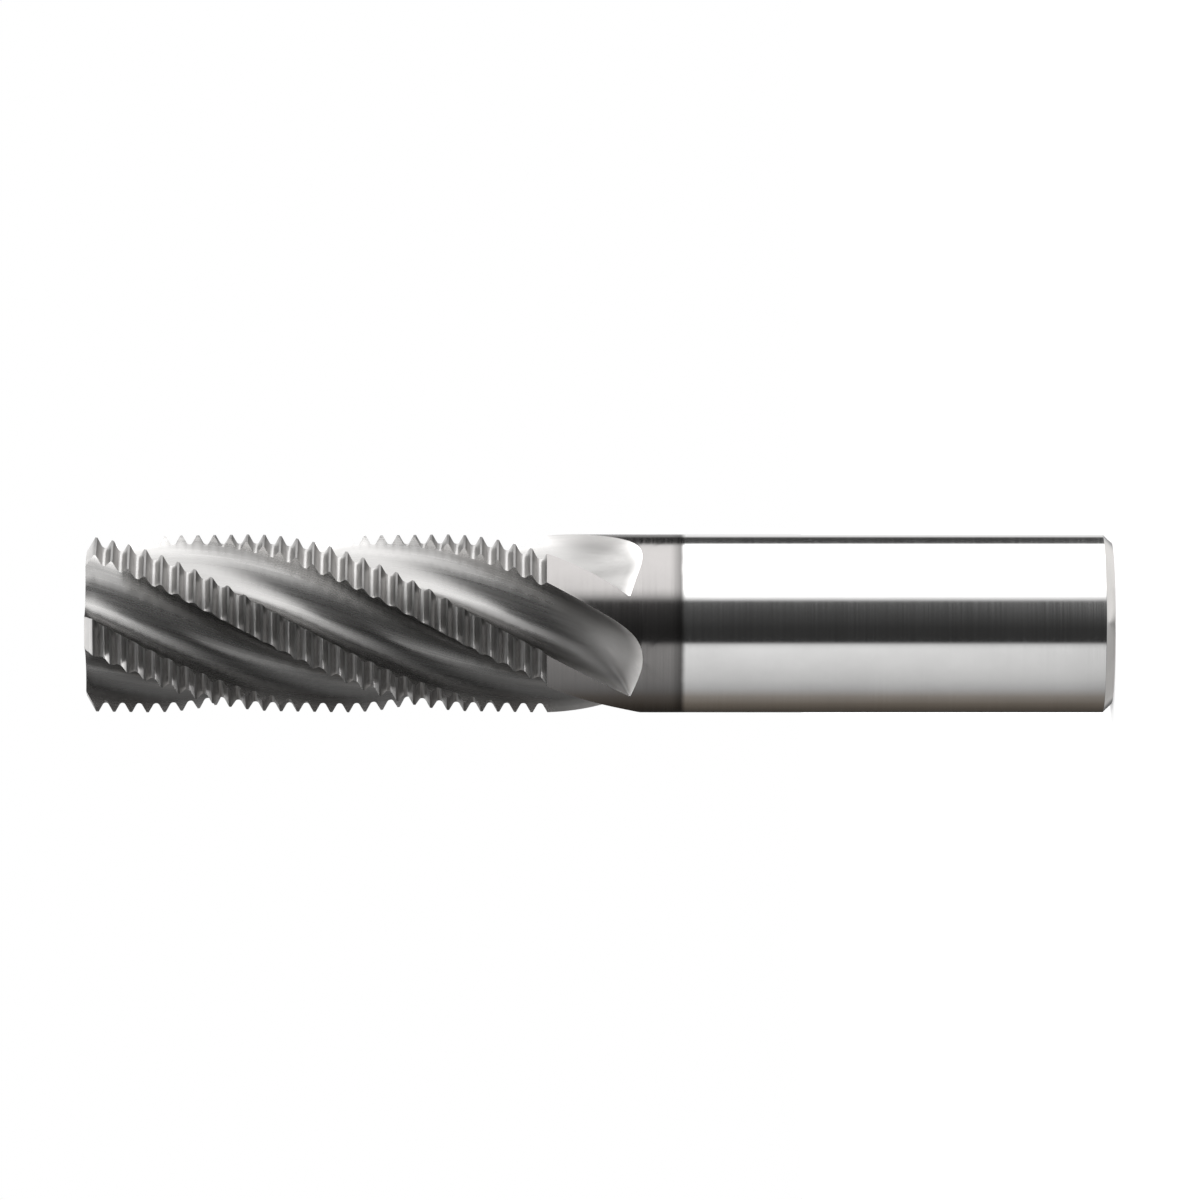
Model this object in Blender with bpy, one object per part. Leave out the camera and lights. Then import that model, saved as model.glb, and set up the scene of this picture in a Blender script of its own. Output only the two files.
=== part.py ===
"""Solid carbide thread mill, ground from one round blank.

The tool stands on the flat end of its shank, at the origin, with its cutting end up along +Z.
Distances along the tool are measured down from the cutting end, as a grinder sets them out.
Five flutes wind round the cutting end. The lands between them carry rows of thread teeth:
the rows are rings and not a helix, because the machine gives the tool its pitch as it circles.
A ring of the mesh is worked out at every corner of the tooth profile. Below the teeth the
flutes run out along the arc that the grinding wheel leaves as it lifts off the shank.
"""

import math

import bmesh
import bpy
from mathutils import Vector

# Lengths in metres
OVERALL_LENGTH = 0.092
SHANK_DIAMETER = 0.016
SHANK_CHAMFER = 0.0008
CUTTING_DIAMETER = 0.016
THREAD_PITCH = 0.0015
FIRST_ROW = 0.0009
FLUTE_DEPTH = 0.0032
GULLET_RADIUS = 0.0024
LAND_WIDTH = 0.00335
LAND_RELIEF = 0.0001
FLUTE_OVERRUN = 0.0012
RUN_OUT_RADIUS = 0.0100

# Counts and angles
THREAD_ROWS = 27
FLUTE_COUNT = 5
FLANK_ANGLE = math.radians(30.0)
HELIX_ANGLE = math.radians(30.0)
RAKE_ANGLE = math.radians(6.0)
BACK_ANGLE = math.radians(27.0)
WHEEL_LEAN = math.radians(14.6)
FIRST_EDGE_ANGLE = math.radians(60.2)

# Proportions of the tooth profile and of the flute's wall
CREST_SHARE = 1.0 / 8.0
ROOT_SHARE = 1.0 / 4.0
SHARPEST_GULLET = 0.05
WALL_FOOT_SHARE = 0.85

# Facets
GULLET_STEPS = 12
FLOOR_STEPS = 4
BACK_STEPS = 12
FLUTE_FACETS = 10
LAND_FACETS = 3
RUN_OUT_RINGS = 18
SHORTEST_WALL_SHARE = 0.03
SHANK_SIDES = 72
WIDEST_FACET = math.radians(9.0)
SHARP_EDGE = math.radians(28.0)

# Values that follow from the ones above
SHANK_RADIUS = SHANK_DIAMETER / 2.0
CUTTING_RADIUS = CUTTING_DIAMETER / 2.0
CORE_RADIUS = CUTTING_RADIUS - FLUTE_DEPTH
CREST_FLAT = THREAD_PITCH * CREST_SHARE
ROOT_FLAT = THREAD_PITCH * ROOT_SHARE
FLANK_LENGTH = (THREAD_PITCH - CREST_FLAT - ROOT_FLAT) / 2.0
ROOT_RADIUS = CUTTING_RADIUS - FLANK_LENGTH / math.tan(FLANK_ANGLE)
FLUTE_SPACING = 2.0 * math.pi / FLUTE_COUNT
FLUTE_OPENING = FLUTE_SPACING - LAND_WIDTH / CUTTING_RADIUS
TWIST = math.tan(HELIX_ANGLE) / CUTTING_RADIUS
LAG = CUTTING_RADIUS * math.tan(WHEEL_LEAN)
GULLET_END = GULLET_STEPS + 2  # place of the gullet's last point in a flute's section

# Carbide as the polished shank shows it
CARBIDE_COLOUR = (0.46, 0.45, 0.44, 1.0)
CARBIDE_ROUGHNESS = 0.22


def clear_scene():
    for item in list(bpy.data.objects):
        bpy.data.objects.remove(item, do_unlink=True)


def carbide_material():
    material = bpy.data.materials.new("carbide")
    material.use_nodes = True
    shader = material.node_tree.nodes["Principled BSDF"]
    shader.inputs["Base Color"].default_value = CARBIDE_COLOUR
    shader.inputs["Metallic"].default_value = 1.0
    shader.inputs["Roughness"].default_value = CARBIDE_ROUGHNESS
    return material


def tooth_profile():
    """Corners of the blank from the cutting end to the plain neck, as (distance, radius, relief).

    The first flank runs straight down to the end face. The last root rises to the neck,
    which is as thick as the shank and has no relief.
    """
    slope = 1.0 / math.tan(FLANK_ANGLE)
    first_crest = FIRST_ROW - CREST_FLAT / 2.0
    corners = [(0.0, CUTTING_RADIUS - first_crest * slope, LAND_RELIEF)]
    for row in range(THREAD_ROWS):
        crest = first_crest + row * THREAD_PITCH
        root = crest + CREST_FLAT + FLANK_LENGTH
        corners.append((crest, CUTTING_RADIUS, LAND_RELIEF))
        corners.append((crest + CREST_FLAT, CUTTING_RADIUS, LAND_RELIEF))
        corners.append((root, ROOT_RADIUS, LAND_RELIEF))
        corners.append((root + ROOT_FLAT, ROOT_RADIUS, LAND_RELIEF))
    last_root = corners[-1][0]
    neck = last_root + abs(SHANK_RADIUS - ROOT_RADIUS) / slope
    corners.append((neck, SHANK_RADIUS, 0.0))
    return corners


def polar(point):
    return math.atan2(point.y, point.x), point.length


def arc(centre, radius, turn_start, turn_end, steps):
    """Points round a centre, as (angle from the cutting edge, distance from the axis)."""
    points = []
    for step in range(steps + 1):
        turn = turn_start + (turn_end - turn_start) * step / steps
        spoke = Vector((math.cos(turn), math.sin(turn)))
        points.append(polar(centre + spoke * radius))
    return points


def gullet_centre(gullet_radius):
    """Centre of the gullet that is tangent to the rake face and to the core."""
    inward = Vector((-math.cos(RAKE_ANGLE), -math.sin(RAKE_ANGLE)))
    across = Vector((-math.sin(RAKE_ANGLE), math.cos(RAKE_ANGLE)))
    offset = gullet_radius - CUTTING_RADIUS * math.sin(RAKE_ANGLE)
    reach = math.sqrt((CORE_RADIUS + gullet_radius) ** 2 - offset ** 2)
    face = CUTTING_RADIUS * math.cos(RAKE_ANGLE) - reach
    return Vector((CUTTING_RADIUS, 0.0)) + inward * face + across * gullet_radius


def flute_section(gullet_radius):
    """One flute square to the axis, as (angle from the cutting edge, radius).

    It runs down the rake face, round the gullet, along the core and up the back in an arc from
    the core to the heel. Both ends stand clear outside the blank. A sharper gullet than the
    whole one leaves the back where it is.
    """
    clear = max(SHANK_RADIUS, CUTTING_RADIUS)
    outward = Vector((math.cos(RAKE_ANGLE), math.sin(RAKE_ANGLE)))
    edge = Vector((CUTTING_RADIUS, 0.0))
    centre = gullet_centre(gullet_radius)
    gullet_end = polar(centre)[0]
    outline = [polar(edge + outward * clear), polar(edge)]
    outline += arc(centre, gullet_radius, RAKE_ANGLE - math.pi / 2.0, gullet_end - math.pi, GULLET_STEPS)

    floor_end = max(FLUTE_OPENING - BACK_ANGLE, polar(gullet_centre(GULLET_RADIUS))[0])
    for step in range(1, FLOOR_STEPS + 1):
        angle = gullet_end + (floor_end - gullet_end) * step / FLOOR_STEPS
        outline.append((angle, CORE_RADIUS))

    outward = Vector((math.cos(floor_end), math.sin(floor_end)))
    heel = Vector((math.cos(FLUTE_OPENING), math.sin(FLUTE_OPENING))) * CUTTING_RADIUS
    climb = heel - outward * CORE_RADIUS
    back_radius = climb.length_squared / (2.0 * climb.dot(outward))
    centre = outward * (CORE_RADIUS + back_radius)
    turned = outward.angle(centre - heel)
    turn_start = floor_end - math.pi
    outline += arc(centre, back_radius, turn_start, turn_start - turned, BACK_STEPS)[1:]
    outline.append((FLUTE_OPENING, CUTTING_RADIUS + clear))
    return outline


def crossing(first, second, radius):
    share = (radius - first[1]) / (second[1] - first[1])
    return first[0] + (second[0] - first[0]) * share, radius


def below(outline, radius):
    """The stretch of an outline that is nearer the axis than a radius, with its ends on it."""
    inside = [index for index, point in enumerate(outline) if point[1] < radius]
    first = inside[0]
    last = inside[-1]
    start = crossing(outline[first - 1], outline[first], radius)
    end = crossing(outline[last + 1], outline[last], radius)
    return [start] + outline[first:last + 1] + [end]


def travelled(outline):
    """Distance along an outline at each of its points."""
    places = [Vector((radius * math.cos(angle), radius * math.sin(angle))) for angle, radius in outline]
    distances = [0.0]
    for before, after in zip(places, places[1:]):
        distances.append(distances[-1] + (after - before).length)
    return distances


def spread(outline, shares):
    """Points at the given shares of an outline's length."""
    distances = travelled(outline)
    points = []
    segment = 0
    for share in shares:
        target = share * distances[-1]
        while segment < len(outline) - 2 and distances[segment + 1] < target:
            segment += 1
        gap = distances[segment + 1] - distances[segment]
        part = min((target - distances[segment]) / gap, 1.0) if gap else 0.0
        start = outline[segment]
        end = outline[segment + 1]
        points.append((start[0] + (end[0] - start[0]) * part, start[1] + (end[1] - start[1]) * part))
    return points


def even_shares(count):
    return [step / count for step in range(count + 1)]


def wall_share(section, stretch):
    """Share of a stretch's length that is rake face and gullet, before the core begins."""
    gullet_end = section[GULLET_END]
    if gullet_end not in stretch:
        return SHORTEST_WALL_SHARE
    distances = travelled(stretch)
    return max(distances[stretch.index(gullet_end)] / distances[-1], SHORTEST_WALL_SHARE)


def shifted(share, old_wall, new_wall):
    """A share moved so that the end of the wall goes from one share to another."""
    if share < old_wall:
        return share * new_wall / old_wall
    return new_wall + (share - old_wall) * (1.0 - new_wall) / (1.0 - old_wall)


def run_out_lift(distance, angle, full_depth_end):
    """How far the wheel has risen at a place. It leans, so the back lags behind the rake face."""
    along = (distance - full_depth_end - angle * LAG) / math.cos(HELIX_ANGLE)
    along = min(max(along, 0.0), RUN_OUT_RADIUS)
    return RUN_OUT_RADIUS - math.sqrt(RUN_OUT_RADIUS ** 2 - along ** 2)


def lifted_section(distance, full_depth_end):
    """A flute's section in the run-out. Its gullet sharpens as the rake face loses its height."""
    left = 1.0 - run_out_lift(distance, 0.0, full_depth_end) / FLUTE_DEPTH
    section = flute_section(GULLET_RADIUS * max(left, SHARPEST_GULLET))
    lifted = []
    for angle, radius in section:
        lifted.append((angle, radius + run_out_lift(distance, angle, full_depth_end)))
    return lifted


def run_out_end(outline, full_depth_end):
    """Distance at which the last trace of a flute leaves the neck."""
    ends = []
    for angle, radius in outline:
        depth = SHANK_RADIUS - radius
        if depth > 0.0:
            travel = math.sqrt(2.0 * RUN_OUT_RADIUS * depth - depth ** 2)
            ends.append(full_depth_end + travel * math.cos(HELIX_ANGLE) + angle * LAG)
    return max(ends)


class Grinder:
    """Builds the tool's surface in a bmesh, ring by ring from the cutting end down."""

    def __init__(self):
        self.mesh = bmesh.new()
        self.profile = tooth_profile()
        self.section = flute_section(GULLET_RADIUS)
        self.whole = below(self.section, SHANK_RADIUS)

    def vertex(self, flute, angle, radius, distance):
        turn = FIRST_EDGE_ANGLE + flute * FLUTE_SPACING - TWIST * distance + angle
        height = OVERALL_LENGTH - distance
        return self.mesh.verts.new((radius * math.cos(turn), radius * math.sin(turn), height))

    def join(self, left, right):
        """Join two chains of (key, vertex), stepping along the one that is behind."""
        i = 0
        j = 0
        while i < len(left) - 1 or j < len(right) - 1:
            right_done = j == len(right) - 1
            left_open = i < len(left) - 1
            if right_done or (left_open and left[i + 1][0] <= right[j + 1][0]):
                self.mesh.faces.new((left[i][1], left[i + 1][1], right[j][1]))
                i += 1
            else:
                self.mesh.faces.new((left[i][1], right[j + 1][1], right[j][1]))
                j += 1

    def strip(self, lower, upper):
        """Quads between two rows of as many vertices."""
        for index in range(len(lower) - 1):
            corners = (lower[index], lower[index + 1], upper[index + 1], upper[index])
            self.mesh.faces.new(corners)

    def land(self, flute, heel, edge, distance, facets):
        """The land after a flute, between the heel and the next cutting edge, both as (angle, radius)."""
        chain = []
        for share in even_shares(facets)[1:-1]:
            angle = heel[0] + (edge[0] + FLUTE_SPACING - heel[0]) * share
            radius = heel[1] + (edge[1] - heel[1]) * share
            chain.append(self.vertex(flute, angle, radius, distance))
        return chain

    def keyed(self, ring, flute):
        """A land's chain from heel to next cutting edge, keyed by its share of the way."""
        chain = [ring["heel"][flute]] + ring["land"][flute] + [ring["edge"][(flute + 1) % FLUTE_COUNT]]
        return list(zip(even_shares(len(chain) - 1), chain))

    def tooth_ring(self, distance, radius, relief):
        """Cutting edges, heels and lands at one corner of the tooth profile."""
        edge = below(self.section, radius)[0]
        heel = below(self.section, radius - relief)[-1]
        ring = {"distance": distance, "edge": [], "heel": [], "land": []}
        for flute in range(FLUTE_COUNT):
            ring["edge"].append(self.vertex(flute, edge[0], edge[1], distance))
            ring["heel"].append(self.vertex(flute, heel[0], heel[1], distance))
            ring["land"].append(self.land(flute, heel, edge, distance, LAND_FACETS))
        return ring

    def bottom_shares(self):
        """Where the points of a flute's bottom lie, as shares of the whole section's length."""
        lowest = min(radius - relief for _, radius, relief in self.profile)
        foot_radius = CORE_RADIUS + WALL_FOOT_SHARE * (lowest - CORE_RADIUS)
        distances = travelled(self.whole)
        inside = [place for place, point in zip(distances, self.whole) if point[1] < foot_radius]
        first = inside[0] / distances[-1]
        last = inside[-1] / distances[-1]
        return [first + (last - first) * share for share in even_shares(FLUTE_FACETS)]

    def flute_rows(self, shares):
        """The bottoms of the flutes, with a row at both ends and one in the middle of each root."""
        first_root = FIRST_ROW + THREAD_PITCH / 2.0
        distances = [0.0]
        distances += [first_root + row * THREAD_PITCH for row in range(THREAD_ROWS)]
        distances.append(self.profile[-1][0])
        outline = spread(self.whole, shares)
        rows = []
        for distance in distances:
            row = []
            for flute in range(FLUTE_COUNT):
                row.append([self.vertex(flute, angle, radius, distance) for angle, radius in outline])
            rows.append((distance, row))
        return rows

    def cutting_end(self, shares):
        """The toothed length: lands, flute bottoms, and the rake and back faces between them."""
        rings = [self.tooth_ring(*corner) for corner in self.profile]
        rows = self.flute_rows(shares)
        for flute in range(FLUTE_COUNT):
            for upper, lower in zip(rings, rings[1:]):
                self.join(self.keyed(lower, flute), self.keyed(upper, flute))
            for (_, upper_row), (_, lower_row) in zip(rows, rows[1:]):
                self.strip(lower_row[flute], upper_row[flute])
            edges = [(ring["distance"], ring["edge"][flute]) for ring in rings]
            heels = [(ring["distance"], ring["heel"][flute]) for ring in rings]
            self.join(edges, [(distance, row[flute][0]) for distance, row in rows])
            self.join([(distance, row[flute][-1]) for distance, row in rows], heels)
        self.end_face(rings[0], rows[0][1])
        return rings[-1], rows[-1][1]

    def end_face(self, ring, row):
        corners = []
        for flute in range(FLUTE_COUNT):
            corners += [ring["edge"][flute]] + row[flute] + [ring["heel"][flute]] + ring["land"][flute]
        self.mesh.faces.new(corners)

    def run_out(self, ring, row, shares):
        """The flutes' run-out in the neck, down to a round ring."""
        start = self.profile[-1][0]
        full_depth_end = start + FLUTE_OVERRUN
        end = run_out_end(flute_section(GULLET_RADIUS * SHARPEST_GULLET), full_depth_end)
        shares = [0.0] + shares + [1.0]
        full_wall = wall_share(self.section, self.whole)
        pockets = [[ring["edge"][f]] + row[f] + [ring["heel"][f]] for f in range(FLUTE_COUNT)]
        for index in range(1, RUN_OUT_RINGS + 1):
            distance = start + (end - start) * math.sin(math.pi / 2.0 * index / RUN_OUT_RINGS)
            if index < RUN_OUT_RINGS:
                section = lifted_section(distance, full_depth_end)
                stretch = below(section, SHANK_RADIUS)
                wall = wall_share(section, stretch)
                pocket = spread(stretch, [shifted(share, full_wall, wall) for share in shares])
            else:
                pocket = [(angle, SHANK_RADIUS) for angle, _ in pocket]
            land_angle = pocket[0][0] + FLUTE_SPACING - pocket[-1][0]
            facets = max(LAND_FACETS, math.ceil(land_angle / WIDEST_FACET))
            next_ring = {"distance": distance, "edge": [], "heel": [], "land": []}
            next_pockets = []
            for flute in range(FLUTE_COUNT):
                points = [self.vertex(flute, angle, radius, distance) for angle, radius in pocket]
                next_pockets.append(points)
                next_ring["edge"].append(points[0])
                next_ring["heel"].append(points[-1])
                next_ring["land"].append(self.land(flute, pocket[-1], pocket[0], distance, facets))
            for flute in range(FLUTE_COUNT):
                self.strip(next_pockets[flute], pockets[flute])
                self.join(self.keyed(next_ring, flute), self.keyed(ring, flute))
            ring = next_ring
            pockets = next_pockets
        around = []
        for flute in range(FLUTE_COUNT):
            around += pockets[flute] + ring["land"][flute]
        return around

    def shank(self, around):
        """The plain shank below the flutes, its chamfer and its flat end."""
        start = math.atan2(around[0].co.y, around[0].co.x)
        turn = 2.0 * math.pi
        upper = []
        for vertex in around:
            angle = (math.atan2(vertex.co.y, vertex.co.x) - start) % turn
            upper.append((angle, vertex))
        upper.append((turn, around[0]))
        rings = []
        for radius, height in ((SHANK_RADIUS, SHANK_CHAMFER), (SHANK_RADIUS - SHANK_CHAMFER, 0.0)):
            ring = []
            for side in range(SHANK_SIDES):
                angle = start + turn * side / SHANK_SIDES
                ring.append(self.mesh.verts.new((radius * math.cos(angle), radius * math.sin(angle), height)))
            rings.append(ring)
        lower = [(turn * side / SHANK_SIDES, vertex) for side, vertex in enumerate(rings[0])]
        lower.append((turn, rings[0][0]))
        self.join(lower, upper)
        self.strip(rings[1] + rings[1][:1], rings[0] + rings[0][:1])
        self.mesh.faces.new(reversed(rings[1]))

    def grind(self):
        shares = self.bottom_shares()
        ring, row = self.cutting_end(shares)
        around = self.run_out(ring, row, shares)
        self.shank(around)
        return self.mesh


def thread_mill():
    mesh = bpy.data.meshes.new("thread_mill")
    surface = Grinder().grind()
    surface.to_mesh(mesh)
    surface.free()
    mesh.shade_smooth()
    mesh.set_sharp_from_angle(angle=SHARP_EDGE)
    mesh.materials.append(carbide_material())
    tool = bpy.data.objects.new("thread_mill", mesh)
    bpy.context.scene.collection.objects.link(tool)
    return tool


clear_scene()
thread_mill()
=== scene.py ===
"""The looks of a solid carbide thread mill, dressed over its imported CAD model.

The tool stands upright on the flat end of its shank, as it does in the CAD. The camera lies on
its side, so the picture shows the tool lying down with its cutting end to the left. A tent of
soft boxes and dark flags stands round the tool, as polished metal shows what is around it.
Distances along the tool are measured down from the cutting end. Lengths are in metres.
"""

import math
from collections import namedtuple

import bpy
import numpy as np
from mathutils import Matrix


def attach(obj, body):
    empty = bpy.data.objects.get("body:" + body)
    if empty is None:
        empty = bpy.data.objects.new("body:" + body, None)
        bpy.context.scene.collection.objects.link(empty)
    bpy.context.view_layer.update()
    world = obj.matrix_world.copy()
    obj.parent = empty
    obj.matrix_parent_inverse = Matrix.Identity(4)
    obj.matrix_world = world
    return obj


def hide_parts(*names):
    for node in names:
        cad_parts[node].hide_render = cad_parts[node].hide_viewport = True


# Sizes that the CAD source has too
OVERALL_LENGTH = 0.092
SHANK_RADIUS = 0.008
SHANK_CHAMFER = 0.0008
CUTTING_RADIUS = 0.008
THREAD_PITCH = 0.0015
FIRST_ROW = 0.0009
FLUTE_DEPTH = 0.0032
GULLET_RADIUS = 0.0024
LAND_WIDTH = 0.00335
LAND_RELIEF = 0.0001
FLUTE_OVERRUN = 0.0012
RUN_OUT_RADIUS = 0.01
THREAD_ROWS = 27
FLUTE_COUNT = 5
FLANK_ANGLE = math.radians(30.0)
HELIX_ANGLE = math.radians(30.0)
RAKE_ANGLE = math.radians(6.0)
BACK_ANGLE = math.radians(27.0)
WHEEL_LEAN = math.radians(14.6)
FIRST_EDGE_ANGLE = math.radians(60.2)
CREST_SHARE = 1.0 / 8.0
ROOT_SHARE = 1.0 / 4.0

# The least share of the gullet's radius that is left where a flute runs out
SHARPEST_GULLET = 0.05

# Finer forms that only the looks have
ROOT_ROUNDING = 0.0003
EDGE_BREAK = 0.00006

# Steps along the drawn outline of a flute, and the facets of the fine mesh
GULLET_STEPS = 48
CORE_STEPS = 4
BACK_STEPS = 48
WALL_FACETS = 14
BACK_FACETS = 16
LAND_FACETS = 11
ROUNDING_STEPS = 4
RUN_OUT_RINGS = 40
EVENING_RINGS = 8
EVENING_LENGTH = 0.003
SHORTEST_WALL_SHARE = 0.03
SHARP_EDGE = math.radians(35.0)

# Material numbers of the faces
BODY, FLUTE, END, TOOTH = range(4)

# Values that follow from the ones above
CORE_RADIUS = CUTTING_RADIUS - FLUTE_DEPTH
CREST_FLAT = THREAD_PITCH * CREST_SHARE
ROOT_FLAT = THREAD_PITCH * ROOT_SHARE
FLANK_LENGTH = (THREAD_PITCH - CREST_FLAT - ROOT_FLAT) / 2.0
ROOT_RADIUS = CUTTING_RADIUS - FLANK_LENGTH / math.tan(FLANK_ANGLE)
FLUTE_SPACING = 2.0 * math.pi / FLUTE_COUNT
FLUTE_OPENING = FLUTE_SPACING - LAND_WIDTH / CUTTING_RADIUS
TWIST = math.tan(HELIX_ANGLE) / CUTTING_RADIUS
LAG = CUTTING_RADIUS * math.tan(WHEEL_LEAN)
TOOTHED_LENGTH = THREAD_ROWS * THREAD_PITCH

# The place in a flute's outline where its gullet ends
GULLET_END = GULLET_STEPS + 2

# Reflected colours and roughnesses, and how much of the light at a slant the coat gives back
SHANK_COLOUR = (0.83, 0.825, 0.82)
SHANK_ROUGHNESS = 0.11
COAT_COLOUR = (0.29, 0.28, 0.275)
COAT_ROUGHNESS = 0.16
COAT_SLANT = (0.6, 0.6, 0.6, 1.0)
END_ROUGHNESS = 0.25

# The flutes have a painted highlight that brightens them towards their edges, and are rougher where the
# wheel has lifted out
FLUTE_COLOUR = (0.412, 0.406, 0.4)
FLUTE_ROUGHNESS = 0.28
FLUTE_RIM_PAINTED_LIGHT = 2.0
FLUTE_PAINTED_LIGHT_DEPTH = 0.0013
RUN_OUT_ROUGHNESS = 0.5
RUN_OUT_LENGTH = 0.006

# The teeth have painted shade that darkens them towards their crests, and painted light at their roots
TOOTH_COLOUR = (0.485, 0.477, 0.47)
TOOTH_ROUGHNESS = 0.4
ROOT_PAINTED_LIGHT = 1.15
CREST_PAINTED_SHADE = 0.55

# The coat ends behind the flutes, with a darker rim and a soft, wandering edge
COAT_LENGTH = 0.0535
COAT_EDGE = 0.0003
COAT_WANDER = 0.0003
COAT_RIM = 0.0007
COAT_RIM_EDGE = 0.0006
COAT_RIM_SHADE = 0.5

# Marks of the grinding wheel: noise scales of its lines and of faint patches along X, Y and Z,
# the patches' detail, the spread of brightness by lines and by patches, the spread of roughness
# by lines, and the lines' relief
Marks = namedtuple("Marks", "lines patches detail streaks mottle unevenness relief")
SHANK_MARKS = Marks(
    lines=(90.0, 90.0, 6500.0),
    patches=(260.0, 260.0, 190.0),
    detail=4.0,
    streaks=(0.98, 1.02),
    mottle=(0.96, 1.04),
    unevenness=(0.85, 1.2),
    relief=0.0000004,
)
FLUTE_MARKS = Marks(
    lines=(5200.0, 5200.0, 70.0),
    patches=(420.0, 420.0, 90.0),
    detail=3.0,
    streaks=(0.95, 1.05),
    mottle=(0.9, 1.1),
    unevenness=(0.85, 1.2),
    relief=0.0000005,
)
TOOTH_MARKS = Marks(
    lines=(120.0, 120.0, 9000.0),
    patches=(700.0, 700.0, 700.0),
    detail=3.0,
    streaks=(0.95, 1.05),
    mottle=(0.92, 1.08),
    unevenness=(0.9, 1.1),
    relief=0.0000006,
)
END_MARKS = Marks(
    lines=(9000.0, 0.0, 0.0),
    patches=(300.0, 300.0, 300.0),
    detail=3.0,
    streaks=(0.93, 1.05),
    mottle=(0.95, 1.05),
    unevenness=(0.8, 1.2),
    relief=0.0000006,
)
LINE_DETAIL = 2.0

# The usual range of a noise, and its middle
NOISE_LOW = 0.2
NOISE_HIGH = 0.8
NOISE_MIDDLE = 0.5

# The tent: its radiance and warmth by direction round the tool, in degrees from the camera
# towards +X. The stops are for light level with the tool, then for bands up past its tip and
# down past its shank, and for the tent's cap behind the shank.
BRIGHTEST = 2.6
TENT_RADIUS = 1.5
TENT_HEIGHT = 3.0
TENT_SIDES = 96
TENT_CAP_EDGE = 0.01
LEVEL_STOPS = (
    (-180.0, 0.6, 0.0),
    (-168.0, 0.04, 0.1),
    (-150.0, 0.06, 0.17),
    (-130.0, 0.11, 0.17),
    (-110.0, 0.22, 0.1),
    (-93.0, 0.44, 0.0),
    (-79.0, 0.58, 0.0),
    (-54.0, 0.75, 0.0),
    (-33.0, 0.87, 0.0),
    (-28.0, 0.75, 0.0),
    (-24.0, 0.03, 0.0),
    (-6.0, 0.03, 0.0),
    (14.0, 0.06, 0.0),
    (28.0, 0.1, 0.0),
    (38.0, 1.9, 0.0),
    (46.0, 2.6, 0.0),
    (121.0, 2.6, 0.0),
    (128.0, 0.06, 0.0),
    (147.0, 0.06, 0.0),
    (155.0, 0.9, 0.0),
    (180.0, 0.9, 0.0),
)
TIP_STOPS = (
    (-180.0, 0.6, 0.0),
    (-105.0, 0.1, 0.0),
    (-67.0, 0.07, 0.0),
    (-37.0, 0.1, 0.0),
    (-7.0, 0.11, 0.0),
    (12.0, 0.14, 0.0),
    (25.0, 0.18, 0.0),
    (38.0, 0.62, 0.0),
    (52.0, 1.25, 0.0),
    (68.0, 1.75, 0.0),
    (85.0, 1.9, 0.0),
    (172.0, 1.9, 0.0),
    (180.0, 0.6, 0.0),
)
FAR_TIP_STOPS = (
    (-180.0, 2.6, 0.0),
    (-120.0, 1.6, 0.0),
    (-60.0, 1.6, 0.0),
    (-22.0, 2.0, 0.0),
    (8.0, 2.3, 0.0),
    (45.0, 2.6, 0.0),
    (150.0, 2.6, 0.0),
    (180.0, 2.6, 0.0),
)
TIP_END_STOPS = (
    (-180.0, 2.6, 0.0),
    (-140.0, 2.6, 0.0),
    (-100.0, 0.3, 0.0),
    (25.0, 0.3, 0.0),
    (60.0, 2.2, 0.0),
    (100.0, 2.6, 0.0),
    (180.0, 2.6, 0.0),
)
SHANK_STOPS = (
    (-180.0, 0.15, 0.0),
    (-105.0, 0.08, 0.0),
    (-82.0, 0.14, 0.0),
    (-60.0, 0.25, 0.0),
    (-45.0, 0.18, 0.0),
    (-27.0, 0.05, 0.0),
    (-8.0, 0.05, 0.0),
    (5.0, 0.12, 0.0),
    (15.0, 0.3, 0.0),
    (27.0, 0.45, 0.0),
    (40.0, 0.6, 0.0),
    (60.0, 0.78, 0.0),
    (85.0, 0.85, 0.0),
    (150.0, 0.87, 0.0),
    (180.0, 0.15, 0.0),
)
FAR_SHANK_STOPS = (
    (-180.0, 0.6, 0.02),
    (-150.0, 0.43, 0.02),
    (-100.0, 0.43, 0.02),
    (-60.0, 0.18, 0.0),
    (-40.0, 0.2, 0.0),
    (-22.0, 0.14, 0.0),
    (0.0, 0.06, 0.0),
    (15.0, 0.04, 0.0),
    (30.0, 0.1, 0.0),
    (60.0, 0.35, 0.0),
    (85.0, 0.8, 0.02),
    (150.0, 0.87, 0.02),
    (180.0, 0.6, 0.02),
)
SHANK_CAP_STOPS = (
    (-180.0, 0.26, 0.02),
    (-150.0, 0.35, 0.02),
    (-118.0, 0.43, 0.02),
    (0.0, 0.5, 0.0),
    (118.0, 0.87, 0.02),
    (150.0, 0.6, 0.02),
    (180.0, 0.26, 0.02),
)

# Each band's stops, and the slopes from the tool at which it begins and is all there is
TENT_BANDS = (
    (TIP_STOPS, 0.045, 0.085),
    (FAR_TIP_STOPS, 0.7, 0.95),
    (TIP_END_STOPS, 1.1, 1.5),
    (SHANK_STOPS, -0.055, -0.085),
    (FAR_SHANK_STOPS, -0.25, -0.5),
)

# The floor, and the glow that lifts it to white for the camera
FLOOR_RADIUS = 1.4
FLOOR_SIDES = 64
FLOOR_COLOUR = (0.75, 0.75, 0.75, 1.0)
FLOOR_LIFT = 0.45
WHITE = (1.0, 1.0, 1.0, 1.0)

# The camera is 0.91 m away and turned on its side, with the tool's tip to the left
CAMERA_PLACE = (0.0021, -0.91, 0.04596)
CAMERA_LENS_MM = 303.8
CAMERA_SENSOR_MM = 36.0


def polar(x, y):
    """Angle round the tool's axis, and distance from it."""
    return math.atan2(y, x), math.hypot(x, y)


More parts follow.
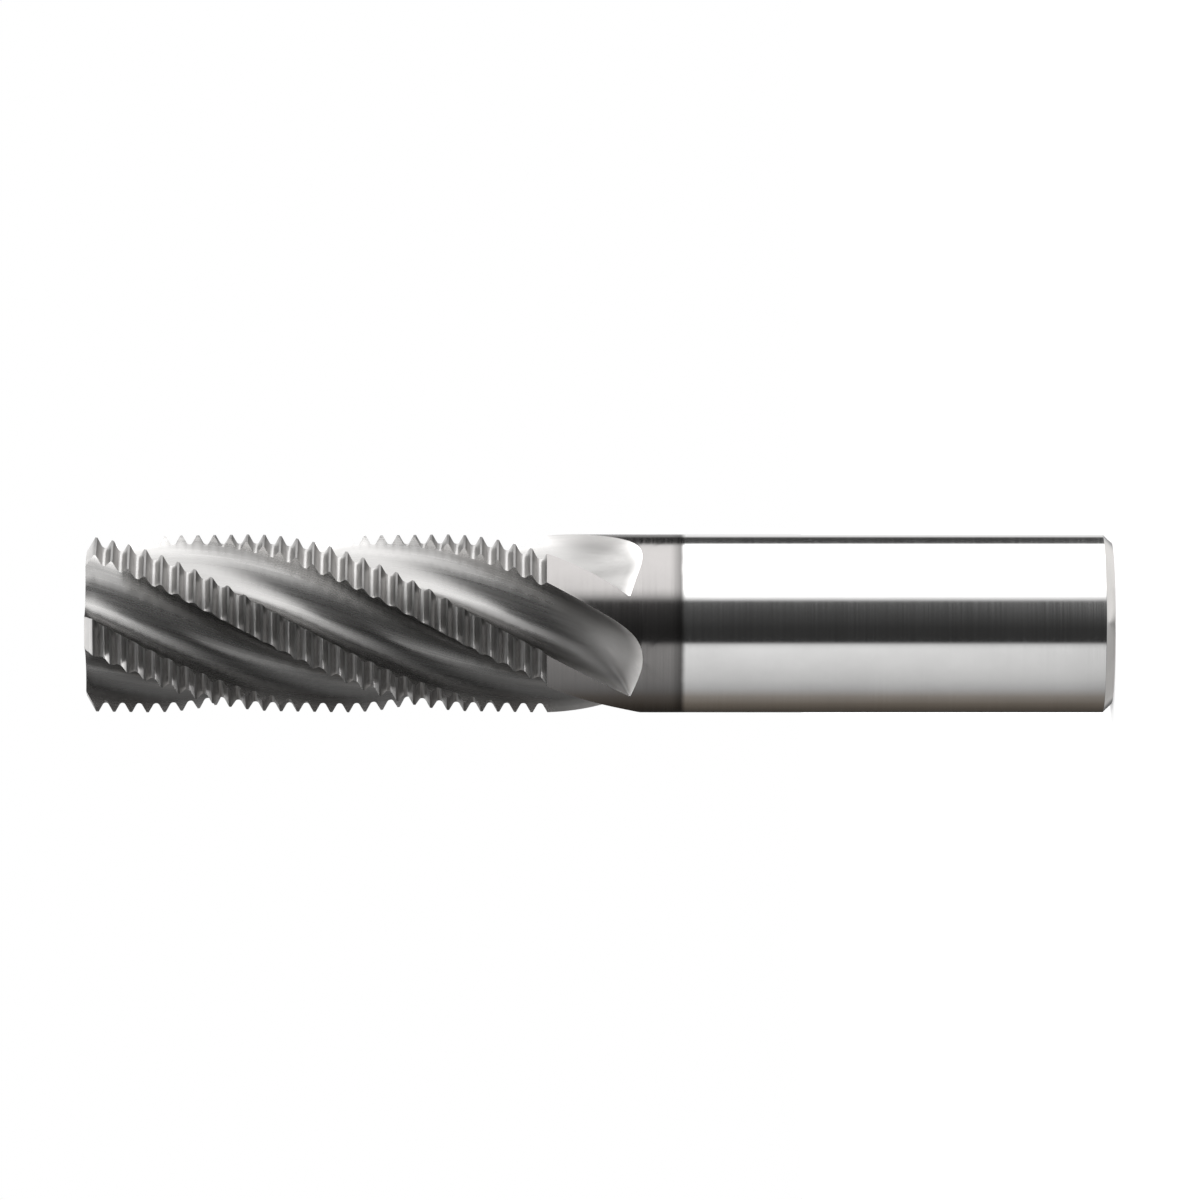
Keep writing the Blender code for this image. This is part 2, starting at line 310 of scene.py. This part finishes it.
def arc(centre, radius, turn_start, turn_end, steps):
    """Points round a centre, as rows of angle from the cutting edge and distance from the axis."""
    points = []
    for turn in np.linspace(turn_start, turn_end, steps + 1):
        points.append(polar(centre[0] + radius * math.cos(turn), centre[1] + radius * math.sin(turn)))
    return points


def gullet_centre(gullet_radius):
    """Centre of the gullet that is tangent to the rake face and to the core."""
    sine = math.sin(RAKE_ANGLE)
    cosine = math.cos(RAKE_ANGLE)
    reach = math.sqrt((CORE_RADIUS + gullet_radius) ** 2 - (gullet_radius - CUTTING_RADIUS * sine) ** 2)
    face = CUTTING_RADIUS * cosine - reach
    return CUTTING_RADIUS - cosine * face - sine * gullet_radius, cosine * gullet_radius - sine * face


def flute_outline(gullet_radius):
    """One flute square to the axis, as rows of angle from the cutting edge and radius."""
    clear_x = CUTTING_RADIUS + SHANK_RADIUS * math.cos(RAKE_ANGLE)
    clear_y = SHANK_RADIUS * math.sin(RAKE_ANGLE)
    centre = gullet_centre(gullet_radius)
    gullet_end = polar(*centre)[0]
    outline = [polar(clear_x, clear_y), (0.0, CUTTING_RADIUS)]
    outline += arc(centre, gullet_radius, RAKE_ANGLE - math.pi / 2.0, gullet_end - math.pi, GULLET_STEPS)

    floor_end = max(FLUTE_OPENING - BACK_ANGLE, polar(*gullet_centre(GULLET_RADIUS))[0])
    for angle in np.linspace(gullet_end, floor_end, CORE_STEPS + 1)[1:]:
        outline.append((angle, CORE_RADIUS))

    outward = np.array((math.cos(floor_end), math.sin(floor_end)))
    heel = np.array((math.cos(FLUTE_OPENING), math.sin(FLUTE_OPENING))) * CUTTING_RADIUS
    climb = heel - outward * CORE_RADIUS
    back_radius = float(climb @ climb) / (2.0 * float(climb @ outward))
    centre = outward * (CORE_RADIUS + back_radius)
    turned = math.acos(float(outward @ (centre - heel)) / back_radius)
    turn_start = floor_end - math.pi
    outline += arc(centre, back_radius, turn_start, turn_start - turned, BACK_STEPS)[1:]
    outline.append((FLUTE_OPENING, CUTTING_RADIUS + SHANK_RADIUS))
    return np.array(outline)


def lift(distance, angles, full_depth_end):
    """How far the grinding wheel has risen at a distance and at some angles of a flute."""
    along = (distance - full_depth_end - angles * LAG) / math.cos(HELIX_ANGLE)
    along = np.clip(along, 0.0, RUN_OUT_RADIUS)
    return RUN_OUT_RADIUS - np.sqrt(RUN_OUT_RADIUS ** 2 - along ** 2)


def lifted_outline(distance, full_depth_end):
    """A flute's outline at a distance, raised with the wheel and sharper in its gullet."""
    left = 1.0 - float(lift(distance, np.zeros(1), full_depth_end)[0]) / FLUTE_DEPTH
    outline = flute_outline(GULLET_RADIUS * max(left, SHARPEST_GULLET))
    outline[:, 1] += lift(distance, outline[:, 0], full_depth_end)
    return outline


def crossing(outside, inside, radius):
    """Where an outline crosses a radius, between a point outside it and a point inside it."""
    share = (radius - outside[1]) / (inside[1] - outside[1])
    return outside + (inside - outside) * share


def flute_points(outline, edge_radius, heel_radius):
    """Points down the rake face, round the gullet, over the floor and up the back to the heel."""
    radii = outline[:, 1]
    first = np.flatnonzero(radii < edge_radius)[0]
    last = np.flatnonzero(radii < heel_radius)[-1]
    start = crossing(outline[first - 1], outline[first], edge_radius)
    end = crossing(outline[last + 1], outline[last], heel_radius)
    stretch = np.vstack([start, outline[first:last + 1], end])

    x = stretch[:, 1] * np.cos(stretch[:, 0])
    y = stretch[:, 1] * np.sin(stretch[:, 0])
    distances = np.concatenate([[0.0], np.cumsum(np.hypot(np.diff(x), np.diff(y)))])
    length = distances[-1]
    wall = SHORTEST_WALL_SHARE * length
    if first <= GULLET_END:
        wall = max(distances[GULLET_END - first + 1], wall)
    down = np.linspace(0.0, wall, WALL_FACETS + 1)
    across = np.linspace(wall, length, BACK_FACETS + 1)[1:]
    places = np.concatenate([down, across])
    angles = np.interp(places, distances, stretch[:, 0])
    radii = np.interp(places, distances, stretch[:, 1])
    return np.stack([angles, radii], 1)


def rounded(before, corner, after, radius):
    """Points round a corner of the tooth profile, each as (distance, radius)."""
    before, corner, after = np.array(before), np.array(corner), np.array(after)
    back = (before - corner) / np.linalg.norm(before - corner)
    ahead = (after - corner) / np.linalg.norm(after - corner)
    turn = math.pi - math.acos(float(back @ ahead))
    reach = radius * math.tan(turn / 2.0)
    points = []
    for share in np.linspace(0.0, 1.0, ROUNDING_STEPS + 1):
        start = corner + back * reach * (1.0 - share)
        end = corner + ahead * reach * share
        points.append(tuple(start + (end - start) * share))
    return points


def tooth_profile():
    """The blank from the cutting end to the neck, as rows of distance and radius."""
    slope = 1.0 / math.tan(FLANK_ANGLE)
    first_crest = FIRST_ROW - CREST_FLAT / 2.0
    points = [(0.0, CUTTING_RADIUS - first_crest * slope)]
    for row in range(THREAD_ROWS):
        crest = (first_crest + row * THREAD_PITCH, CUTTING_RADIUS)
        crest_end = (crest[0] + CREST_FLAT, CUTTING_RADIUS)
        root = (crest_end[0] + FLANK_LENGTH, ROOT_RADIUS)
        root_end = (root[0] + ROOT_FLAT, ROOT_RADIUS)
        next_crest = (root_end[0] + FLANK_LENGTH, CUTTING_RADIUS)
        points += [crest, crest_end]
        points += rounded(crest_end, root, root_end, ROOT_ROUNDING)
        points += rounded(root, root_end, next_crest, ROOT_ROUNDING)
    points.append((root_end[0] + (SHANK_RADIUS - ROOT_RADIUS) / slope, SHANK_RADIUS))
    return points


def run_out_end(outline, full_depth_end):
    """The distance at which the wheel has left the neck all across a flute."""
    depth = np.maximum(SHANK_RADIUS - outline[:, 1], 0.0)
    travel = np.sqrt(2.0 * RUN_OUT_RADIUS * depth - depth ** 2)
    ends = full_depth_end + travel * math.cos(HELIX_ANGLE) + outline[:, 0] * LAG
    return float(ends[depth > 0.0].max())


def ring(distance, pocket):
    """All five flutes and lands at one distance, as rows of x, y and z."""
    heel = pocket[-1]
    edge = pocket[0]
    shares = np.linspace(0.0, 1.0, LAND_FACETS + 1)[1:-1]
    land_angles = heel[0] + (edge[0] + FLUTE_SPACING - heel[0]) * shares
    land_radii = heel[1] + (edge[1] - heel[1]) * shares
    angles = np.concatenate([pocket[:, 0], land_angles])
    radii = np.concatenate([pocket[:, 1], land_radii])
    points = []
    for flute in range(FLUTE_COUNT):
        turns = FIRST_EDGE_ANGLE + flute * FLUTE_SPACING - TWIST * distance + angles
        heights = np.full(len(turns), OVERALL_LENGTH - distance)
        points.append(np.stack([radii * np.cos(turns), radii * np.sin(turns), heights], 1))
    return np.vstack(points)


def fluted_rings():
    """Rings of the toothed length and of the flutes' run-out in the neck."""
    outline = flute_outline(GULLET_RADIUS)
    rings = []
    profile = tooth_profile()
    for distance, radius in profile[:-1]:
        rings.append(ring(distance, flute_points(outline, radius, radius - LAND_RELIEF)))
    neck = profile[-1][0]
    full_depth_end = neck + FLUTE_OVERRUN
    end = run_out_end(flute_outline(GULLET_RADIUS * SHARPEST_GULLET), full_depth_end)
    for step in range(RUN_OUT_RINGS):
        distance = neck + (end - neck) * math.sin(math.pi / 2.0 * step / RUN_OUT_RINGS)
        pocket = flute_points(lifted_outline(distance, full_depth_end), SHANK_RADIUS, SHANK_RADIUS)
        rings.append(ring(distance, pocket))
    closed = pocket.copy()
    closed[:, 1] = SHANK_RADIUS
    rings.append(ring(end, closed))
    return rings


def plain_rings(last):
    """Rings of the plain shank and of its chamfered end.

    The first is close to the last fluted ring, which keeps the ends of the flutes crisp. The
    points of the next ones even out.
    """
    height = last[0, 2]
    turns = np.unwrap(np.arctan2(last[:, 1], last[:, 0]))
    even = turns.mean() + (np.arange(len(turns)) - (len(turns) - 1) / 2.0) * 2.0 * math.pi / len(turns)
    rings = [(turns, SHANK_RADIUS, height - EDGE_BREAK)]
    for step in range(1, EVENING_RINGS + 1):
        share = step / EVENING_RINGS
        angles = turns + (even - turns) * share
        rings.append((angles, SHANK_RADIUS, height - EVENING_LENGTH * share))
    shoulder = (SHANK_CHAMFER, SHANK_RADIUS)
    rim = (0.0, SHANK_RADIUS - SHANK_CHAMFER)
    corners = rounded((OVERALL_LENGTH, SHANK_RADIUS), shoulder, rim, EDGE_BREAK)
    corners += rounded(shoulder, rim, (0.0, 0.0), EDGE_BREAK)
    rings += [(even, radius, height) for height, radius in corners]
    return [
        np.stack([radius * np.cos(angles), radius * np.sin(angles), np.full(len(angles), height)], 1)
        for angles, radius, height in rings
    ]


def tool_mesh():
    """The whole tool as one closed mesh, and the material number of each face."""
    rings = fluted_rings()
    fluted = len(rings) - 1
    toothed = len(tooth_profile()) - 1
    rings += plain_rings(rings[-1])
    around = len(rings[0])
    per_flute = around // FLUTE_COUNT
    pocket_facets = WALL_FACETS + BACK_FACETS
    faces = [list(range(around))]
    kinds = [END]
    for upper in range(len(rings) - 1):
        for column in range(around):
            near = upper * around + column
            far = upper * around + (column + 1) % around
            faces.append([near + around, far + around, far, near])
            if upper < fluted and column % per_flute < pocket_facets:
                kinds.append(FLUTE)
            elif upper < toothed:
                kinds.append(TOOTH)
            else:
                kinds.append(BODY)
    start = (len(rings) - 1) * around
    faces.append(list(range(start + around - 1, start - 1, -1)))
    kinds.append(END)
    mesh = bpy.data.meshes.new("thread_mill_ground")
    mesh.from_pydata(np.vstack(rings).tolist(), [], faces)
    mesh.polygons.foreach_set("material_index", kinds)
    mesh.shade_smooth()
    mesh.set_sharp_from_angle(angle=SHARP_EDGE)
    mesh.update()
    return mesh


class Nodes:
    """Adds shader nodes to a tree and links them up."""

    def __init__(self, tree):
        self.tree = tree
        tree.nodes.clear()

    def add(self, kind, inputs=None, **settings):
        """A new node, its inputs set or linked by number or by name."""
        node = self.tree.nodes.new(kind)
        for name, value in settings.items():
            setattr(node, name, value)
        in_use = {socket.name: socket for socket in node.inputs if socket.enabled}
        for name, value in (inputs or {}).items():
            socket = node.inputs[name] if isinstance(name, int) else in_use[name]
            if isinstance(value, bpy.types.NodeSocket):
                self.tree.links.new(value, socket)
            else:
                socket.default_value = value
        return node

    def math(self, operation, first, second=0.0):
        return self.add("ShaderNodeMath", {0: first, 1: second}, operation=operation).outputs[0]

    def ramp(self, value, low, high, to_low=0.0, to_high=1.0):
        """A value run smoothly from one pair of limits to another."""
        inputs = {0: value, 1: low, 2: high, 3: to_low, 4: to_high}
        return self.add("ShaderNodeMapRange", inputs, interpolation_type="SMOOTHSTEP").outputs[0]

    def mix(self, share, first, second):
        """One colour run into another, by a share from 0 to 1."""
        inputs = {"Factor": share, "A": first, "B": second}
        node = self.add("ShaderNodeMix", inputs, data_type="VECTOR")
        return next(socket for socket in node.outputs if socket.enabled)

    def scaled(self, colour, factor):
        return self.add("ShaderNodeVectorMath", {0: colour, "Scale": factor}, operation="SCALE").outputs[0]

    def noise(self, vector, scale, detail):
        stretched = self.add("ShaderNodeVectorMath", {0: vector, 1: scale}, operation="MULTIPLY")
        inputs = {"Vector": stretched.outputs[0], "Scale": 1.0, "Detail": detail}
        return self.add("ShaderNodeTexNoise", inputs).outputs["Fac"]

    def varied(self, noise, spread):
        """A noise stretched from its usual range to a spread of values."""
        return self.ramp(noise, NOISE_LOW, NOISE_HIGH, *spread)

    def grinding(self, line_point, patch_point, marks):
        """Brightness, unevenness and normal of a ground surface."""
        lines = self.noise(line_point, marks.lines, LINE_DETAIL)
        patches = self.noise(patch_point, marks.patches, marks.detail)
        streaks = self.varied(lines, marks.streaks)
        mottle = self.varied(patches, marks.mottle)
        normal = self.add("ShaderNodeBump", {"Height": lines, "Distance": marks.relief}).outputs[0]
        return self.math("MULTIPLY", streaks, mottle), self.varied(lines, marks.unevenness), normal

    def reach(self, point):
        """Distance of a point from the tool's axis."""
        flat = self.add("ShaderNodeVectorMath", {0: point, 1: (1.0, 1.0, 0.0)}, operation="MULTIPLY")
        return self.add("ShaderNodeVectorMath", {0: flat.outputs[0]}, operation="LENGTH").outputs["Value"]

    def metal(self, colour, roughness, normal, slant=WHITE):
        inputs = {"Base Color": colour, "Metallic": 1.0, "Roughness": roughness, "Normal": normal}
        inputs["Specular Tint"] = slant
        return self.add("ShaderNodeBsdfPrincipled", inputs).outputs[0]

    def finish(self, surface):
        self.add("ShaderNodeOutputMaterial", {"Surface": surface})


def new_material(name):
    material = bpy.data.materials.new(name)
    material.use_nodes = True
    return material, Nodes(material.node_tree)


def tool_point(nodes):
    """The shaded point, in the tool's own coordinates."""
    return nodes.add("ShaderNodeTexCoord").outputs["Object"]


def tip_distance(nodes, point):
    """Distance of a point from the cutting end, along the tool."""
    height = nodes.add("ShaderNodeSeparateXYZ", {0: point}).outputs[2]
    return nodes.math("SUBTRACT", OVERALL_LENGTH, height)


def body_material():
    """Cylindrically ground carbide, coated as far as a darker rim behind the flutes."""
    material, nodes = new_material("ground_and_coated_carbide")
    point = tool_point(nodes)
    strength, uneven, normal = nodes.grinding(point, point, SHANK_MARKS)

    patches = nodes.noise(point, SHANK_MARKS.patches, SHANK_MARKS.detail)
    wander = nodes.math("MULTIPLY", nodes.math("SUBTRACT", patches, NOISE_MIDDLE), COAT_WANDER)
    reached = nodes.math("ADD", tip_distance(nodes, point), wander)
    bare = nodes.ramp(reached, COAT_LENGTH - COAT_EDGE, COAT_LENGTH + COAT_EDGE)
    rim = COAT_LENGTH - COAT_RIM
    shade = nodes.ramp(reached, rim - COAT_RIM_EDGE, rim + COAT_RIM_EDGE, 1.0, COAT_RIM_SHADE)

    coat_colour = nodes.scaled(COAT_COLOUR, nodes.math("MULTIPLY", strength, shade))
    coat = nodes.metal(coat_colour, nodes.math("MULTIPLY", uneven, COAT_ROUGHNESS), normal, COAT_SLANT)
    shank_colour = nodes.scaled(SHANK_COLOUR, strength)
    shank = nodes.metal(shank_colour, nodes.math("MULTIPLY", uneven, SHANK_ROUGHNESS), normal)
    nodes.finish(nodes.add("ShaderNodeMixShader", {0: bare, 1: coat, 2: shank}).outputs[0])
    return material


def flute_material():
    """Coated carbide with grinding lines that follow the helix, and a painted highlight towards the
    flutes' edges.
    """
    material, nodes = new_material("coated_flutes")
    point = tool_point(nodes)
    distance = tip_distance(nodes, point)
    turn = nodes.math("MULTIPLY", distance, TWIST)
    rotate = nodes.add("ShaderNodeVectorRotate", {"Vector": point, "Angle": turn}, rotation_type="Z_AXIS")
    untwisted = rotate.outputs[0]
    strength, uneven, normal = nodes.grinding(untwisted, untwisted, FLUTE_MARKS)

    # Painted highlight: the flutes' colour is brightened towards the cutting radius
    rim = CUTTING_RADIUS - FLUTE_PAINTED_LIGHT_DEPTH
    shade = nodes.ramp(nodes.reach(point), rim, CUTTING_RADIUS, 1.0, FLUTE_RIM_PAINTED_LIGHT)
    colour = nodes.scaled(FLUTE_COLOUR, nodes.math("MULTIPLY", strength, shade))
    lifted = TOOTHED_LENGTH + RUN_OUT_LENGTH
    ground = nodes.ramp(distance, TOOTHED_LENGTH, lifted, FLUTE_ROUGHNESS, RUN_OUT_ROUGHNESS)
    nodes.finish(nodes.metal(colour, nodes.math("MULTIPLY", ground, uneven), normal, COAT_SLANT))
    return material


def tooth_material():
    """Coated teeth, form-ground round the axis, with painted shade at their crests and painted light at
    their roots.
    """
    material, nodes = new_material("coated_teeth")
    point = tool_point(nodes)
    strength, uneven, normal = nodes.grinding(point, point, TOOTH_MARKS)
    # Painted shade and light: the teeth's colour runs from brighter at the roots to darker at the crests
    shade = nodes.ramp(nodes.reach(point), ROOT_RADIUS, CUTTING_RADIUS, ROOT_PAINTED_LIGHT, CREST_PAINTED_SHADE)
    colour = nodes.scaled(TOOTH_COLOUR, nodes.math("MULTIPLY", strength, shade))
    nodes.finish(nodes.metal(colour, nodes.math("MULTIPLY", uneven, TOOTH_ROUGHNESS), normal, COAT_SLANT))
    return material


def end_material():
    """Face-ground ends, with fine rings round the axis. Only the cutting end is coated."""
    material, nodes = new_material("face_ground_ends")
    point = tool_point(nodes)
    across = nodes.add("ShaderNodeCombineXYZ", {0: nodes.reach(point)}).outputs[0]
    strength, uneven, normal = nodes.grinding(across, point, END_MARKS)
    bare = nodes.math("GREATER_THAN", tip_distance(nodes, point), COAT_LENGTH)
    colour = nodes.scaled(nodes.mix(bare, COAT_COLOUR, SHANK_COLOUR), strength)
    nodes.finish(nodes.metal(colour, nodes.math("MULTIPLY", uneven, END_ROUGHNESS), normal))
    return material


def dress_tool():
    """The fine mesh with its materials, in place of the CAD solid."""
    mesh = tool_mesh()
    materials = {
        BODY: body_material(),
        FLUTE: flute_material(),
        END: end_material(),
        TOOTH: tooth_material(),
    }
    for kind in sorted(materials):
        mesh.materials.append(materials[kind])
    tool = bpy.data.objects.new("thread_mill_ground", mesh)
    bpy.context.scene.collection.objects.link(tool)
    weighted = tool.modifiers.new("weighted_normals", "WEIGHTED_NORMAL")
    weighted.keep_sharp = True
    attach(tool, "root")
    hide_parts("thread_mill")


def tent_stops(nodes, round_share, stops):
    """Light round the tent, as a share of the brightest."""
    ramp = nodes.add("ShaderNodeValToRGB", {0: round_share})
    elements = ramp.color_ramp.elements
    given = len(elements)
    for index, (degrees, radiance, warmth) in enumerate(stops):
        position = (math.radians(degrees) + math.pi) / (2.0 * math.pi)
        element = elements[index] if index < given else elements.new(position)
        element.position = position
        share = radiance / BRIGHTEST
        element.color = (share * (1.0 + warmth), share, share * (1.0 - warmth), 1.0)
    return ramp.outputs[0]


def tent_material():
    """A glow that changes round the tent and towards its two ends."""
    material, nodes = new_material("tent_cloth_and_flags")
    point = nodes.add("ShaderNodeTexCoord").outputs["Object"]
    round_share = nodes.add("ShaderNodeTexGradient", {0: point}, gradient_type="RADIAL").outputs["Fac"]
    height = nodes.add("ShaderNodeSeparateXYZ", {0: point}).outputs[2]
    slope = nodes.math("DIVIDE", height, TENT_RADIUS)
    colour = tent_stops(nodes, round_share, LEVEL_STOPS)
    for stops, near, far in TENT_BANDS:
        colour = nodes.mix(nodes.ramp(slope, near, far), colour, tent_stops(nodes, round_share, stops))
    on_cap = nodes.math("LESS_THAN", height, TENT_CAP_EDGE - TENT_HEIGHT)
    colour = nodes.mix(on_cap, colour, tent_stops(nodes, round_share, SHANK_CAP_STOPS))
    glow = nodes.add("ShaderNodeEmission", {"Color": colour, "Strength": BRIGHTEST})
    nodes.finish(glow.outputs[0])
    return material


def set_tent():
    """A closed round tent of soft boxes and flags that the camera looks through."""
    points = []
    for height in (TENT_HEIGHT, -TENT_HEIGHT):
        for side in range(TENT_SIDES):
            angle = 2.0 * math.pi * side / TENT_SIDES
            points.append((TENT_RADIUS * math.cos(angle), TENT_RADIUS * math.sin(angle), height))
    faces = [list(range(TENT_SIDES)), list(range(2 * TENT_SIDES - 1, TENT_SIDES - 1, -1))]
    for side in range(TENT_SIDES):
        after = (side + 1) % TENT_SIDES
        faces.append([side, after, after + TENT_SIDES, side + TENT_SIDES])
    mesh = bpy.data.meshes.new("tent")
    mesh.from_pydata(points, [], faces)
    mesh.materials.append(tent_material())
    tent = bpy.data.objects.new("tent", mesh)
    tent.rotation_euler.z = -math.pi / 2.0
    tent.visible_camera = False
    bpy.context.scene.collection.objects.link(tent)


def set_floor():
    """A pale floor that stays white around the tool and keeps its shadow."""
    material, nodes = new_material("pale_floor")
    paint = nodes.add("ShaderNodeBsdfDiffuse", {"Color": FLOOR_COLOUR})
    seen = nodes.add("ShaderNodeLightPath").outputs["Is Camera Ray"]
    lift_strength = nodes.math("MULTIPLY", seen, FLOOR_LIFT)
    glow = nodes.add("ShaderNodeEmission", {"Color": WHITE, "Strength": lift_strength})
    both = nodes.add("ShaderNodeAddShader", {0: paint.outputs[0], 1: glow.outputs[0]})
    nodes.finish(both.outputs[0])
    turns = [2.0 * math.pi * side / FLOOR_SIDES for side in range(FLOOR_SIDES)]
    rim = [(FLOOR_RADIUS * math.cos(turn), FLOOR_RADIUS * math.sin(turn), 0.0) for turn in turns]
    mesh = bpy.data.meshes.new("floor")
    mesh.from_pydata(rim, [], [list(range(FLOOR_SIDES))])
    mesh.materials.append(material)
    floor = bpy.data.objects.new("floor", mesh)
    floor.visible_glossy = False
    bpy.context.scene.collection.objects.link(floor)


def set_world():
    """A plain white backdrop."""
    world = bpy.data.worlds.new("white_backdrop")
    world.use_nodes = True
    nodes = Nodes(world.node_tree)
    backdrop = nodes.add("ShaderNodeBackground", {"Color": WHITE, "Strength": 1.0})
    nodes.add("ShaderNodeOutputWorld", {"Surface": backdrop.outputs[0]})
    bpy.context.scene.world = world


def set_camera():
    """The photograph's view: picture left is the tool's tip, picture up is +X."""
    data = bpy.data.cameras.new("camera")
    data.lens = CAMERA_LENS_MM
    data.sensor_width = CAMERA_SENSOR_MM
    camera = bpy.data.objects.new("camera", data)
    rows = ((0.0, 1.0, 0.0), (0.0, 0.0, -1.0), (-1.0, 0.0, 0.0))
    camera.matrix_world = Matrix.Translation(CAMERA_PLACE) @ Matrix(rows).to_4x4()
    bpy.context.scene.collection.objects.link(camera)
    bpy.context.scene.camera = camera


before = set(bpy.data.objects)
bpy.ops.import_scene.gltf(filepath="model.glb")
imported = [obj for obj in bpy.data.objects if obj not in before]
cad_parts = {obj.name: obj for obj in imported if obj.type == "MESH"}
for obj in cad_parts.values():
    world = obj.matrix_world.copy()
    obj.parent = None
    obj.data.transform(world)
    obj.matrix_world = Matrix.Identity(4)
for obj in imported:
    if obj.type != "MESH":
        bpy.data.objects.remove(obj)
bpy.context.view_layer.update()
set_world()
set_floor()
set_tent()
set_camera()
dress_tool()
bpy.context.scene.view_settings.view_transform = "Standard"
